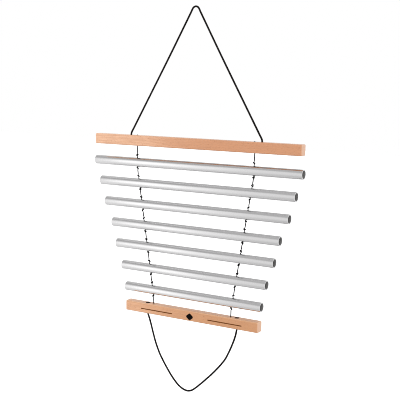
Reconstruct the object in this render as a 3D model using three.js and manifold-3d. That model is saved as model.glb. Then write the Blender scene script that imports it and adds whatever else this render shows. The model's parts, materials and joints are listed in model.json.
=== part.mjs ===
// Hanging bar chime: seven tuned aluminium tubes on two knotted strings between two beech bars,
// with a hanger cord above and a pull loop below.
// Millimetres, +Z up, bars along X. The origin is the inside of the hanger cord's bend, where a hook carries it.
import * as THREE from "three";
import { mergeVertices } from "three/addons/utils/BufferGeometryUtils.js";
import Module from "manifold-3d";

const wasm = await Module();
wasm.setup();

// Tubes
const tubeDiameter = 16;
const tubeWall = 1.5;
const tubeEdgeBreak = 0.3;
const tubeSides = 24;
const longestTube = 400;
// Semitones above the longest tube: a major pentatonic scale
const scaleSteps = [0, 2, 4, 7, 9, 12, 14];
// A free tube's pitch goes with one over its length squared, so an octave is a length ratio of root two
const stepsPerHalving = 24;

// Beech bars
const barHeight = 18;
const barDepth = 15;
const barEdgeRadius = 2;
const barEndEase = 1.5;
const topBarLength = 397;
const bottomBarLength = 262;
// From the top bar's upper face to the bottom bar's underside
const barToBarHeight = 312;

// Strings: one on each side, knotted above and below every tube
const stringDiameter = 1.8;
const stringSides = 8;
const topBarStringSpan = 227.5;
const firstTubeStringSpan = 225;
const stringSpanStep = 11.8;
const bottomBarStringSpan = 153;
// By how much each gap above a tube is tied wider or closer than the others, and the gap above the bottom bar
const tiedGapChanges = [0.1, -0.6, -0.4, 0, 0.2, 1.4, 1.1];
const bottomBarGap = 16.6;
const stringKnotDiameter = 4.2;
const stringKnotLength = 4;
const upperKnotRise = 4.5;
const stringTail = 1;
const stringBoreDiameter = 5.6;
const stringBoreDepth = 4.6;

// Thick cords: the hanger and the pull loop
const cordDiameter = 3.2;
const cordSides = 8;
const cordKnotDiameter = 7.2;
const cordKnotLength = 6;
const cordTail = 1;
const cordBoreDiameter = 8.4;
const cordBoreDepth = 8;
const hangerRise = 213.5;
const hangerSpan = 252.8;
const loopSpan = 177.2;

// Clearances
const touchGap = 0.3;
const knotSeat = 0.5;
const holeClearance = 0.4;
const cutOverrun = 1;
const holeSides = 12;

// The hanger's right leg from the bar up to the middle of its bend: across from the centre, up from the origin
const hangerLeg = [
  [126.4, -211.6],
  [125.7, -209],
  [120.7, -200.4],
  [95.9, -158],
  [71.1, -115.6],
  [46.4, -73.1],
  [22.2, -30.7],
  [8.7, -7],
  [6, -2],
  [4.4, 0],
  [2.3, 1.2],
  [0, 1.6],
];

// The pull loop from left to right: across from the centre, up from the bottom bar's underside
const loopRoute = [
  [-88.6, -1.9],
  [-87.5, -5],
  [-84.8, -12.1],
  [-82, -20.2],
  [-78.9, -30.3],
  [-75.8, -40.3],
  [-72.2, -50.9],
  [-67.9, -61],
  [-62.7, -71.6],
  [-56.3, -81.9],
  [-49, -92.4],
  [-40.7, -103.5],
  [-31.5, -113.8],
  [-21.9, -122.1],
  [-12.5, -126.5],
  [-3.8, -127.4],
  [4, -124.5],
  [11.5, -118.7],
  [20, -110.9],
  [29.5, -101.6],
  [40, -91],
  [50.5, -79.5],
  [60.2, -67.9],
  [68.5, -56.3],
  [74.8, -43.7],
  [80, -31.7],
  [84.2, -20.6],
  [87, -11.1],
  [88.2, -5],
  [88.6, -1.9],
];
const hangerStepsPerSpan = 2;
const loopStepsPerSpan = 2;

// Finishes
const aluminium = new THREE.MeshStandardMaterial({ color: 0xc4c6c8, roughness: 0.35, metalness: 1 });
const beech = new THREE.MeshStandardMaterial({ color: 0xe3b98a, roughness: 0.6, metalness: 0 });
const string = new THREE.MeshStandardMaterial({ color: 0x26262a, roughness: 0.8, metalness: 0 });
const cord = new THREE.MeshStandardMaterial({ color: 0x1c1512, roughness: 0.75, metalness: 0 });

// Heights and spans worked out from the driving dimensions
const tubeRadius = tubeDiameter / 2;
const stringRadius = stringDiameter / 2;
const cordRadius = cordDiameter / 2;
const stringHoleRadius = stringRadius + holeClearance;
const cordHoleRadius = cordRadius + holeClearance;
const topBarTop = -hangerRise;
const topBarUnder = topBarTop - barHeight;
const bottomBarUnder = topBarTop - barToBarHeight;
const bottomBarTop = bottomBarUnder + barHeight;
// The string left over by bars and tubes is shared out evenly above the tubes, but for the tied changes
const gapChanges = scaleSteps.map((step, index) => tiedGapChanges[index] ?? 0);
const lowestTubeUnder = bottomBarTop + bottomBarGap;
const spareString = topBarUnder - lowestTubeUnder - scaleSteps.length * tubeDiameter;
const tubeGap = (spareString - gapChanges.reduce((sum, change) => sum + change)) / scaleSteps.length;
const tubes = [];
let reached = topBarUnder;
scaleSteps.forEach((step, index) => {
  const axisHeight = reached - tubeGap - gapChanges[index] - tubeRadius;
  tubes.push({
    name: `tube_${index + 1}`,
    length: longestTube * 2 ** (-step / stepsPerHalving),
    axisHeight,
    stringSpan: firstTubeStringSpan - index * stringSpanStep,
  });
  reached = axisHeight - tubeRadius;
});

// Bends: where a string or cord turns freely, a rounded end of one piece sits just below the piece above it
const stringBend = stringRadius + touchGap;
const underTube = (tube) => tube.axisHeight - tubeRadius - knotSeat - stringKnotLength - stringBend;

const chime = new THREE.Group();

function toSolid(geometry) {
  const bare = geometry.clone();
  bare.deleteAttribute("normal");
  bare.deleteAttribute("uv");
  const merged = mergeVertices(bare, 1e-5);
  const corners = [];
  const index = merged.index.array;
  for (let i = 0; i < index.length; i += 3) {
    const [a, b, c] = [index[i], index[i + 1], index[i + 2]];
    if (a !== b && b !== c && c !== a) corners.push(a, b, c);
  }
  const vertProperties = new Float32Array(merged.attributes.position.array);
  return new wasm.Manifold(new wasm.Mesh({ numProp: 3, vertProperties, triVerts: new Uint32Array(corners) }));
}

function addMesh(name, solid, material) {
  const { vertProperties, triVerts } = solid.getMesh();
  const geometry = new THREE.BufferGeometry();
  geometry.setAttribute("position", new THREE.BufferAttribute(vertProperties, 3));
  geometry.setIndex(new THREE.BufferAttribute(triVerts, 1));
  geometry.computeVertexNormals();
  const mesh = new THREE.Mesh(geometry, material);
  mesh.name = name;
  chime.add(mesh);
}

// A turned solid whose profile gives [radius, distance], with distance counted from start towards end
function turned(profile, sides, start, end) {
  const points = profile.map(([radius, distance]) => new THREE.Vector2(radius, distance));
  const geometry = new THREE.LatheGeometry(points, sides);
  const along = new THREE.Vector3().subVectors(end, start).normalize();
  const turn = new THREE.Quaternion().setFromUnitVectors(new THREE.Vector3(0, 1, 0), along);
  geometry.applyQuaternion(turn);
  geometry.translate(start.x, start.y, start.z);
  return toSolid(geometry);
}

// A drilled hole between two distances along the line from start to end
function drilled(radius, from, to, start, end) {
  return turned([[0, from], [radius, from], [radius, to], [0, to]], holeSides, start, end);
}

// A knot seen as a turned swelling of the line it is tied in
function knotProfile(lineRadius, knotRadius, from, length) {
  const shoulder = (lineRadius + 2 * knotRadius) / 3;
  return [
    [lineRadius, from],
    [shoulder, from + length * 0.1],
    [knotRadius, from + length * 0.35],
    [knotRadius, from + length * 0.65],
    [shoulder, from + length * 0.9],
    [lineRadius, from + length],
  ];
}

// A half ball that ends a line at distance zero, so the line can turn there
function ballEnd(radius) {
  return [[0, -radius], [radius * Math.SQRT1_2, -radius * Math.SQRT1_2], [radius, 0]];
}

function stringPoint(side, span, height) {
  return new THREE.Vector3((side * span) / 2, 0, height);
}

function makeBar(length, height) {
  const halfHeight = barHeight / 2;
  const halfDepth = barDepth / 2;
  const r = barEdgeRadius;
  const section = new THREE.Shape();
  section.moveTo(-halfHeight + r, -halfDepth);
  section.lineTo(halfHeight - r, -halfDepth);
  section.absarc(halfHeight - r, -halfDepth + r, r, -Math.PI / 2, 0);
  section.lineTo(halfHeight, halfDepth - r);
  section.absarc(halfHeight - r, halfDepth - r, r, 0, Math.PI / 2);
  section.lineTo(-halfHeight + r, halfDepth);
  section.absarc(-halfHeight + r, halfDepth - r, r, Math.PI / 2, Math.PI);
  section.lineTo(-halfHeight, -halfDepth + r);
  section.absarc(-halfHeight + r, -halfDepth + r, r, Math.PI, Math.PI * 1.5);
  const geometry = new THREE.ExtrudeGeometry(section, {
    depth: length - 2 * barEndEase,
    steps: 1,
    curveSegments: 3,
    bevelEnabled: true,
    bevelThickness: barEndEase,
    bevelSize: barEndEase,
    bevelOffset: -barEndEase,
    bevelSegments: 2,
  });
  geometry.translate(0, 0, -length / 2 + barEndEase);
  geometry.rotateY(Math.PI / 2);
  geometry.translate(0, 0, height);
  return toSolid(geometry);
}

function makeTube(tube) {
  const inner = tubeRadius - tubeWall;
  const half = tube.length / 2;
  const wallProfile = [
    [inner, -half],
    [tubeRadius - tubeEdgeBreak, -half],
    [tubeRadius, -half + tubeEdgeBreak],
    [tubeRadius, half - tubeEdgeBreak],
    [tubeRadius - tubeEdgeBreak, half],
    [inner, half],
    [inner, -half],
  ];
  const centre = new THREE.Vector3(0, 0, tube.axisHeight);
  return turned(wallProfile, tubeSides, centre, centre.clone().setX(half));
}

// Rings fall on the chosen points and evenly between them, so they are closer where the cord bends
class ChosenRoute extends THREE.CatmullRomCurve3 {
  getUtoTmapping(u) {
    return u;
  }
}

function makeCord(route, stepsPerSpan) {
  const section = new THREE.Shape();
  section.absarc(0, 0, cordRadius, 0, Math.PI * 2);
  const tube = new THREE.ExtrudeGeometry(section, {
    steps: (route.length - 1) * stepsPerSpan,
    curveSegments: cordSides / 2, // a circle has two points for each of these
    bevelEnabled: false,
    extrudePath: new ChosenRoute(route, false, "centripetal"),
  });
  let solid = toSolid(tube);
  for (const end of [route[0], route[route.length - 1]]) {
    const ball = new THREE.SphereGeometry(cordRadius, cordSides, cordSides);
    ball.translate(end.x, end.y, end.z);
    solid = solid.add(toSolid(ball));
  }
  return solid;
}

// Each string's path: the points where it bends, from the top bar down, on one side
function stringBends(side) {
  const bends = [stringPoint(side, topBarStringSpan, topBarUnder - stringBend)];
  tubes.forEach((tube) => bends.push(stringPoint(side, tube.stringSpan, underTube(tube))));
  bends.push(stringPoint(side, bottomBarStringSpan, bottomBarUnder));
  return bends;
}

const sides = [
  { label: "left", sign: -1 },
  { label: "right", sign: 1 },
];

let topBar = makeBar(topBarLength, topBarTop - barHeight / 2);
let bottomBar = makeBar(bottomBarLength, bottomBarTop - barHeight / 2);
const tubeSolids = tubes.map(makeTube);

for (const { label, sign } of sides) {
  // Strings: a piece for each tube, with its knot above, its way through the tube and its knot below
  const bends = stringBends(sign);
  tubes.forEach((tube, index) => {
    const [start, end] = [bends[index], bends[index + 1]];
    const slope = start.distanceTo(end) / (start.z - end.z);
    const along = (height) => (start.z - height) * slope;
    const tubeTop = tube.axisHeight + tubeRadius;
    const tubeUnder = tube.axisHeight - tubeRadius;
    const upperKnot = along(tubeTop + upperKnotRise) - stringKnotLength / 2;
    const lowerKnot = along(tubeUnder - knotSeat);
    const profile = [
      ...ballEnd(stringRadius),
      ...knotProfile(stringRadius, stringKnotDiameter / 2, upperKnot, stringKnotLength),
      ...knotProfile(stringRadius, stringKnotDiameter / 2, lowerKnot, stringKnotLength),
      [0, lowerKnot + stringKnotLength],
    ];
    addMesh(`${label}_string_${index + 1}`, turned(profile, stringSides, start, end), string);
    const hole = [along(tubeTop + cutOverrun), along(tubeUnder - cutOverrun)];
    tubeSolids[index] = tubeSolids[index].subtract(drilled(stringHoleRadius, ...hole, start, end));
  });

  // The last piece of string runs through the bottom bar to a knot sunk in its underside
  const [lastBend, lastEnd] = bends.slice(-2);
  const lastSlope = lastBend.distanceTo(lastEnd) / (lastBend.z - lastEnd.z);
  const lastAlong = (height) => (lastBend.z - height) * lastSlope;
  const sunkFloor = bottomBarUnder + stringBoreDepth;
  const sunkKnot = lastAlong(sunkFloor - knotSeat);
  const lastProfile = [
    ...ballEnd(stringRadius),
    ...knotProfile(stringRadius, stringKnotDiameter / 2, sunkKnot, stringKnotLength),
    [stringRadius, sunkKnot + stringKnotLength + stringTail],
    [0, sunkKnot + stringKnotLength + stringTail],
  ];
  const lastName = `${label}_string_${tubes.length + 1}`;
  addMesh(lastName, turned(lastProfile, stringSides, lastBend, lastEnd), string);
  const throughBottom = [lastAlong(bottomBarTop + cutOverrun), lastAlong(bottomBarUnder - cutOverrun)];
  bottomBar = bottomBar.subtract(drilled(stringHoleRadius, ...throughBottom, lastBend, lastEnd));
  const sunkBore = [lastAlong(sunkFloor), lastAlong(bottomBarUnder - cutOverrun)];
  bottomBar = bottomBar.subtract(drilled(stringBoreDiameter / 2, ...sunkBore, lastBend, lastEnd));

  // The string's upper end hangs from a knot sunk in the top bar's upper face
  const down = new THREE.Vector3(0, 0, -1);
  const anchorTop = stringPoint(sign, topBarStringSpan, topBarTop);
  const anchorEnd = anchorTop.clone().add(down);
  const anchorKnot = stringBoreDepth - knotSeat - stringKnotLength;
  const anchorProfile = [
    [0, anchorKnot - stringTail],
    [stringRadius, anchorKnot - stringTail],
    ...knotProfile(stringRadius, stringKnotDiameter / 2, anchorKnot, stringKnotLength),
    [stringRadius, barHeight],
    [0, barHeight],
  ];
  addMesh(`${label}_string_anchor`, turned(anchorProfile, stringSides, anchorTop, anchorEnd), string);
  const anchorHole = drilled(stringHoleRadius, -cutOverrun, barHeight + cutOverrun, anchorTop, anchorEnd);
  const anchorBore = drilled(stringBoreDiameter / 2, -cutOverrun, stringBoreDepth, anchorTop, anchorEnd);
  topBar = topBar.subtract(anchorHole).subtract(anchorBore);

  // Thick cords pass through a bar to a knot sunk in the bar's far face: the hanger down, the loop up
  const cordEnd = (start, towards) => {
    const knot = barHeight - cordBoreDepth + knotSeat;
    const end = start.clone().add(towards);
    const profile = [
      [0, 0],
      [cordRadius, 0],
      ...knotProfile(cordRadius, cordKnotDiameter / 2, knot, cordKnotLength),
      [cordRadius, knot + cordKnotLength + cordTail],
      [0, knot + cordKnotLength + cordTail],
    ];
    const hole = drilled(cordHoleRadius, -cutOverrun, barHeight + cutOverrun, start, end);
    const boreFrom = barHeight - cordBoreDepth;
    const bore = drilled(cordBoreDiameter / 2, boreFrom, barHeight + cutOverrun, start, end);
    return { knot: turned(profile, cordSides, start, end), cut: hole.add(bore) };
  };
  const hangerEnd = cordEnd(stringPoint(sign, hangerSpan, topBarTop), down);
  addMesh(`${label}_hanger_knot`, hangerEnd.knot, cord);
  topBar = topBar.subtract(hangerEnd.cut);
  const loopEnd = cordEnd(stringPoint(sign, loopSpan, bottomBarUnder), down.clone().negate());
  addMesh(`${label}_loop_knot`, loopEnd.knot, cord);
  bottomBar = bottomBar.subtract(loopEnd.cut);
}

addMesh("top_bar", topBar, beech);
addMesh("bottom_bar", bottomBar, beech);
tubes.forEach((tube, index) => addMesh(tube.name, tubeSolids[index], aluminium));

// The hanger's two legs mirror each other and meet at the middle of the bend
const rightLeg = hangerLeg.map(([across, up]) => new THREE.Vector3(across, 0, up));
const leftLeg = hangerLeg.slice(0, -1).map(([across, up]) => new THREE.Vector3(-across, 0, up));
addMesh("hanger_cord", makeCord([...leftLeg, ...rightLeg.reverse()], hangerStepsPerSpan), cord);

const loopPoints = loopRoute.map(([across, up]) => new THREE.Vector3(across, 0, bottomBarUnder + up));
addMesh("pull_loop", makeCord(loopPoints, loopStepsPerSpan), cord);

export default chime;
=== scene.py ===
import json
import math

import bpy
import numpy as np
from mathutils import Matrix, Vector


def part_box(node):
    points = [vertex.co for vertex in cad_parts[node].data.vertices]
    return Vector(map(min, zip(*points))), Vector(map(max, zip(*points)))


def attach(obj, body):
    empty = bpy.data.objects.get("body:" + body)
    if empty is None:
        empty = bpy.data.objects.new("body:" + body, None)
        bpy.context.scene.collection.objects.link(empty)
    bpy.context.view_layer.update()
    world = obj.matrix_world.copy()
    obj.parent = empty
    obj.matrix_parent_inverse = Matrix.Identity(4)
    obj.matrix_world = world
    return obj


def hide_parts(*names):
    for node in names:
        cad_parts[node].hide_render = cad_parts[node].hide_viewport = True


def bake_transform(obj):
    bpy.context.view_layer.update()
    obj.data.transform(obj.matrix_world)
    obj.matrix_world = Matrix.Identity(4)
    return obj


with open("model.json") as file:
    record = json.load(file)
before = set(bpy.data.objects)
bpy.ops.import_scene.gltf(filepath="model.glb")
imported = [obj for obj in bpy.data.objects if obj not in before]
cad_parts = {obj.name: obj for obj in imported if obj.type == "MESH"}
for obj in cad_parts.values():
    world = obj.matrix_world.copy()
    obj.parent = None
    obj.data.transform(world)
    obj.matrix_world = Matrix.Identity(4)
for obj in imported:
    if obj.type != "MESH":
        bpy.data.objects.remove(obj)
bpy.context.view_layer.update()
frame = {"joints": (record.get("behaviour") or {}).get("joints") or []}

topLow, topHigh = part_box("top_bar")
bottomLow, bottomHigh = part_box("bottom_bar")
jointHeights = {joint["name"]: joint["pos_m"][2] for joint in frame["joints"]}
leftRight = (("left", -1), ("right", 1))
tubeCount = 7
scene = bpy.context.scene
scene.view_settings.view_transform = "Standard"
scene.cycles.filter_width = 1.0  # in pixels: thin strings stay crisp


# Camera, at the photograph's angle
photoView = {
    "place": (0.7221, -1.2180, -0.1163),
    "yaw": 30.18,       # degrees to the left of straight on
    "pitch": 8.07,      # degrees down
    "roll": -0.96,      # degrees clockwise
    "lens": 76.5,       # mm, on a 36 mm sensor and a square frame
    "clipStart": 0.01,
}


def makeCamera(settings):
    yaw, pitch, roll = (math.radians(settings[key]) for key in ("yaw", "pitch", "roll"))
    flat = math.cos(pitch)
    level = Vector((math.cos(yaw), math.sin(yaw), 0))
    ahead = Vector((-math.sin(yaw) * flat, math.cos(yaw) * flat, -math.sin(pitch)))
    down = ahead.cross(level)
    right = level * math.cos(roll) + down * math.sin(roll)
    up = level * math.sin(roll) - down * math.cos(roll)
    lens = bpy.data.cameras.new("photoLens")
    lens.lens = settings["lens"]
    lens.clip_start = settings["clipStart"]
    camera = bpy.data.objects.new("photoCamera", lens)
    scene.collection.objects.link(camera)
    turn = Matrix((right, up, -ahead)).transposed().to_4x4()
    camera.matrix_world = Matrix.Translation(settings["place"]) @ turn
    scene.camera = camera


makeCamera(photoView)
print("camera: set")


# Shader tools: nodes with their settings, groups with named sockets, surfaces with their Principled node
colourMix = {"share": 0, "first": 6, "second": 7, "result": 2}  # socket numbers of a colour Mix node
noiseMiddle = 0.5
finishOutputs = [("Color", "Color"), ("Roughness", "Float"), ("Height", "Float")]


def feed(tree, socket, value):
    if isinstance(value, bpy.types.NodeSocket):
        tree.links.new(value, socket)
    else:
        socket.default_value = value


def addNode(tree, kind, inputs=None, **settings):
    node = tree.nodes.new(kind)
    for key, value in settings.items():
        setattr(node, key, value)
    for key, value in (inputs or {}).items():
        feed(tree, node.inputs[key], value)
    return node


def numbers(tree, operation, first, second=0.0):
    return addNode(tree, "ShaderNodeMath", {0: first, 1: second}, operation=operation).outputs[0]


def vectors(tree, operation, first, second=(0, 0, 0), output=0):
    node = addNode(tree, "ShaderNodeVectorMath", {0: first, 1: second}, operation=operation)
    return node.outputs[output]


def mapRange(tree, value, low, high, toLow=0.0, toHigh=1.0):
    inputs = {"Value": value, "From Min": low, "From Max": high, "To Min": toLow, "To Max": toHigh}
    return addNode(tree, "ShaderNodeMapRange", inputs, interpolation_type="SMOOTHSTEP").outputs["Result"]


def mixColour(tree, share, first, second):
    inputs = {colourMix["share"]: share, colourMix["first"]: first, colourMix["second"]: second}
    return addNode(tree, "ShaderNodeMix", inputs, data_type="RGBA").outputs[colourMix["result"]]


def noise(tree, point, stretch, detail, roughness):
    stretched = vectors(tree, "MULTIPLY", point, stretch)
    inputs = {"Vector": stretched, "Scale": 1.0, "Detail": detail, "Roughness": roughness}
    return addNode(tree, "ShaderNodeTexNoise", inputs).outputs[0]


def newGroup(name, inputs, outputs):
    group = bpy.data.node_groups.new(name, "ShaderNodeTree")
    for socketName, kind in inputs:
        group.interface.new_socket(socketName, in_out="INPUT", socket_type="NodeSocket" + kind)
    for socketName, kind in outputs:
        group.interface.new_socket(socketName, in_out="OUTPUT", socket_type="NodeSocket" + kind)
    return group, group.nodes.new("NodeGroupInput").outputs, group.nodes.new("NodeGroupOutput").inputs


def newSurface(name, shine):
    surface = bpy.data.materials.new(name)
    surface.use_nodes = True
    tree = surface.node_tree
    shader = tree.nodes["Principled BSDF"]
    for key, value in shine.items():
        shader.inputs[key].default_value = value
    return surface, tree, shader


def finishWith(tree, shader, group, values, reliefDepth):
    placed = addNode(tree, "ShaderNodeGroup", node_tree=group)
    for key, value in values.items():
        feed(tree, placed.inputs[key], value)
    tree.links.new(placed.outputs["Color"], shader.inputs["Base Color"])
    tree.links.new(placed.outputs["Roughness"], shader.inputs["Roughness"])
    bump = addNode(tree, "ShaderNodeBump", {"Height": placed.outputs["Height"], "Distance": reliefDepth})
    tree.links.new(bump.outputs[0], shader.inputs["Normal"])


# Yarn: painted shade in the creases between plies, and the fine fibres, for string and cord alike
yarnFinish = {
    # noise: stretch along and round the line, detail, roughness
    "fibres": ((900.0, 3.0, 3.0), 4.0, 0.65),
    "worn": ((60.0, 0.7, 0.7), 2.0, 0.55),
    # ranges: from low, from high, to low, to high
    "fibreShade": (0.35, 0.75, 0.0, 0.55),
    "wornShade": (0.55, 0.80, 0.0, 0.35),
    "roughness": (0.30, 0.70, 0.62, 0.90),
}


def makeYarnGroup():
    inputs = [("Lay", "Vector"), ("Crease Shade", "Float"), ("Yarn", "Color"), ("Dark Fibre And Crease Shade", "Color")]
    group, given, out = newGroup("yarnLay", inputs, finishOutputs)
    fibres = noise(group, given["Lay"], *yarnFinish["fibres"])
    worn = noise(group, given["Lay"], *yarnFinish["worn"])
    shade = mapRange(group, fibres, *yarnFinish["fibreShade"])
    body = mixColour(group, shade, given["Yarn"], given["Dark Fibre And Crease Shade"])
    rubbed = mixColour(group, mapRange(group, worn, *yarnFinish["wornShade"]), body, given["Yarn"])
    # painted shade: deep in a crease the yarn takes its dark colour
    feed(group, out["Color"], mixColour(group, given["Crease Shade"], rubbed, given["Dark Fibre And Crease Shade"]))
    feed(group, out["Roughness"], mapRange(group, fibres, *yarnFinish["roughness"]))
    feed(group, out["Height"], fibres)
    return group


yarnLay = makeYarnGroup()


def makeYarn(name, settings):
    shine = {"Sheen Weight": settings["sheen"], "Specular IOR Level": settings["gloss"]}
    surface, tree, shader = newSurface(name, shine)
    lay = addNode(tree, "ShaderNodeAttribute", attribute_name="lay").outputs["Vector"]
    crease = addNode(tree, "ShaderNodeAttribute", attribute_name="crease").outputs["Fac"]
    values = {"Lay": lay, "Crease Shade": crease, "Yarn": settings["yarn"], "Dark Fibre And Crease Shade": settings["darkFibreAndCreaseShade"]}
    finishWith(tree, shader, yarnLay, values, settings["fibreDepth"])
    return surface


# Lines to sweep along
def lengthsAlong(line):
    return np.concatenate([[0], np.cumsum(np.linalg.norm(np.diff(line[:, :3], axis=0), axis=1))])


def placesAlong(line, wanted):
    reached = lengthsAlong(line)
    return np.stack([np.interp(wanted, reached, column) for column in line.T], axis=1)


def evenSteps(line, step):
    total = lengthsAlong(line)[-1]
    return placesAlong(line, np.linspace(0, total, max(2, round(total / step) + 1)))


# A curve through all points, timed by the roots of their distances so that it makes no loops
def smoothRoute(points, step, perSpan=24):
    points = np.array(points, float)
    before, after = 2 * points[0] - points[1], 2 * points[-1] - points[-2]
    points = np.concatenate([[before], points, [after]])
    line = []
    for first in range(len(points) - 3):
        a, b, c, d = points[first:first + 4]
        tb = np.linalg.norm(b - a) ** 0.5
        tc = tb + np.linalg.norm(c - b) ** 0.5
        td = tc + np.linalg.norm(d - c) ** 0.5
        for t in np.linspace(tb, tc, perSpan, endpoint=False):
            ab = a + (b - a) * t / tb
            bc = b + (c - b) * (t - tb) / (tc - tb)
            cd = c + (d - c) * (t - tc) / (td - tc)
            abc = ab + (bc - ab) * t / tc
            bcd = bc + (cd - bc) * (t - tb) / (td - tb)
            line.append(abc + (bcd - abc) * (t - tb) / (tc - tb))
    return evenSteps(np.array(line + [points[-2]]), step)


# An overhand knot drawn tight: the string's own thickness stops it. Sizes are in string diameters.
overhand = {
    "points": 110,
    "leadPoints": 10,        # of these, on each side of the loop
    "reach": 5.0,            # from the middle to each end
    "length": 21.8,          # string between the ends
    "tightestBend": 0.62,
    "rounds": 2200,
    "pullRounds": 1650,      # the string is drawn to its length in these
    "lengthPasses": 3,       # in each round
    "lengthEase": 0.3,       # share of an error that each end makes up in a pass
    "stiffness": 0.125,
    "pushEase": 0.6,         # share of an overlap that each side makes up in a round
    "neighbours": 3,         # points nearer along the string don't push
    "leastDistance": 1e-9,   # guards a division
    "leadFrom": 2.3,         # the string comes back to its line from here
    "leadTo": 3.0,           # and is on it from here
    # the slack loop that it starts from
    "loopEnd": 2.02,
    "loopWidth": 0.62,
    "loopHeight": 0.55,
    "loopRise": 1.4,
    "loopReturn": 0.14,
}


def slackKnot(settings):
    lead, end = settings["leadPoints"], settings["loopEnd"]
    t = np.linspace(-end, end, settings["points"] - 2 * lead)
    x = settings["loopWidth"] * (t ** 3 - 3 * t)
    y = settings["loopHeight"] * (t ** 4 - 4 * t ** 2) + 1
    z = settings["loopRise"] * t - settings["loopReturn"] * t ** 5
    loop = np.stack([x, y, z], axis=1)
    tip = np.array([0, 0, math.copysign(settings["reach"], loop[0, 2])])
    share = np.linspace(0, 1, lead + 1)[:, None]
    leadIn = tip + share[:-1] * (loop[0] - tip)
    leadOut = loop[-1] + share[1:] * (-tip - loop[-1])
    return np.concatenate([leadIn, loop, leadOut]), tip


def keepLength(line, gap, tip, settings):
    for _ in range(settings["lengthPasses"]):
        along = np.diff(line, axis=0)
        excess = 1 - gap / np.linalg.norm(along, axis=1, keepdims=True)
        pull = settings["lengthEase"] * excess * along
        line[:-1] += pull
        line[1:] -= pull
        line[0], line[-1] = tip, -tip


# The string can't pass through itself, or bend more tightly than its tightest bend
def pushedApart(line, low, high, gap, settings):
    bend = settings["tightestBend"]
    apart = line[high] - line[low]
    distance = np.linalg.norm(apart, axis=1)
    arc = np.minimum((high - low) * gap / (2 * bend), math.pi / 2)
    least = np.minimum(1.0, 2 * bend * np.sin(arc))
    hit = distance < least
    overlap = (least - distance) / np.maximum(distance, settings["leastDistance"])
    push = settings["pushEase"] * overlap[hit, None] * apart[hit]
    moved, count = np.zeros_like(line), np.zeros(len(line))
    for points, move in ((high[hit], push), (low[hit], -push)):
        np.add.at(moved, points, move)
        np.add.at(count, points, 1)
    return line + moved / np.maximum(count, 1)[:, None]


def tieOverhand(settings):
    line, tip = slackKnot(settings)
    slackLength = lengthsAlong(line)[-1]
    low, high = np.triu_indices(len(line), settings["neighbours"])
    for turn in range(settings["rounds"]):
        pulled = min(1.0, turn / settings["pullRounds"])
        gap = (slackLength + (settings["length"] - slackLength) * pulled) / (len(line) - 1)
        keepLength(line, gap, tip, settings)
        line[1:-1] += settings["stiffness"] * (line[:-2] + line[2:] - 2 * line[1:-1])
        line = pushedApart(line, low, high, gap, settings)
        line[0], line[-1] = tip, -tip
    line[:, 2] *= -math.copysign(1, tip[2])
    height = abs(line[:, 2])
    away = np.clip((settings["leadTo"] - height) / (settings["leadTo"] - settings["leadFrom"]), 0, 1)
    tight = away * away * (3 - 2 * away)
    line[:, :2] *= tight[:, None]
    return np.column_stack([line, tight])[height < settings["leadTo"]]


knotLine = tieOverhand(overhand)
print("knot: tied,", len(knotLine), "points")


# A straight line with knots in it. The last column says how far a point is drawn into a knot.
def knottedLine(start, end, knots, step):
    start, end = np.array(start, float), np.array(end, float)
    length = np.linalg.norm(end - start)
    axis = (end - start) / length
    side = np.array([0.0, 1.0, 0.0])
    other = np.cross(axis, side)
    line = [np.append(start, 0.0)]
    for centre, size, turn in knots:
        c, s = math.cos(turn), math.sin(turn)
        for x, y, z, tight in knotLine:
            place = centre + z * size
            if 0 < place < length:
                offset = side * (c * x - s * y) + other * (s * x + c * y)
                line.append(np.append(start + axis * place + offset * size, tight))
    line.append(np.append(end, 0.0))
    return evenSteps(np.array(line), step)


# Reliefs of a swept line: how deep the surface lies under its radius, from 0 to 1
def twistedPlies(along, around, settings):
    turn = around - 2 * math.pi * along / settings["layLength"]
    return 1 - abs(np.cos(settings["plies"] * turn / 2))


def braidedStrands(along, around, settings):
    rise = along / settings["layLength"]
    turn = around / (2 * math.pi)
    first = settings["carriers"] * (turn + rise)
    second = settings["carriers"] * (turn - rise)
    under = settings["underHeight"]
    heights = []
    for strand, crossing, start in ((first, second, 0.0), (second, first, 1.0)):
        crown = np.sqrt(np.clip(1 - (2 * (strand % 1) - 1) ** 2, 0, 1))
        over = 0.5 + 0.5 * np.cos(math.pi * (crossing - 0.5 + np.floor(strand) + start))
        heights.append(crown * (under + (1 - under) * over))
    return 1 - np.maximum(*heights)


# Pieces: rings of corners joined by faces, shown in the scene and standing for their nodes
def newPiece(name, mesh, surface):
    mesh.materials.append(surface)
    piece = bpy.data.objects.new(name, mesh)
    scene.collection.objects.link(piece)
    return piece


def standFor(piece, node, body=None):
    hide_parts(node)
    if body:
        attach(piece, body)
    return piece


def ringFaces(rings):
    after = np.roll(rings, -1, axis=1)
    return np.stack([rings[:-1], after[:-1], after[1:], rings[1:]], axis=-1).reshape(-1, 4).tolist()


def crossDirections(path):
    ahead = np.gradient(path, axis=0)
    ahead /= np.linalg.norm(ahead, axis=1, keepdims=True)
    side = np.zeros_like(path)
    side[0] = np.cross(ahead[0], (0, 1, 0))
    side[0] /= np.linalg.norm(side[0])
    for i in range(1, len(path)):
        side[i] = side[i - 1] - ahead[i] * (side[i - 1] @ ahead[i])
        side[i] /= np.linalg.norm(side[i])
    return side, np.cross(ahead, side)


roundedEnd = {"rings": 6, "reach": 1.2}  # a line's end, with its reach in radii


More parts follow.
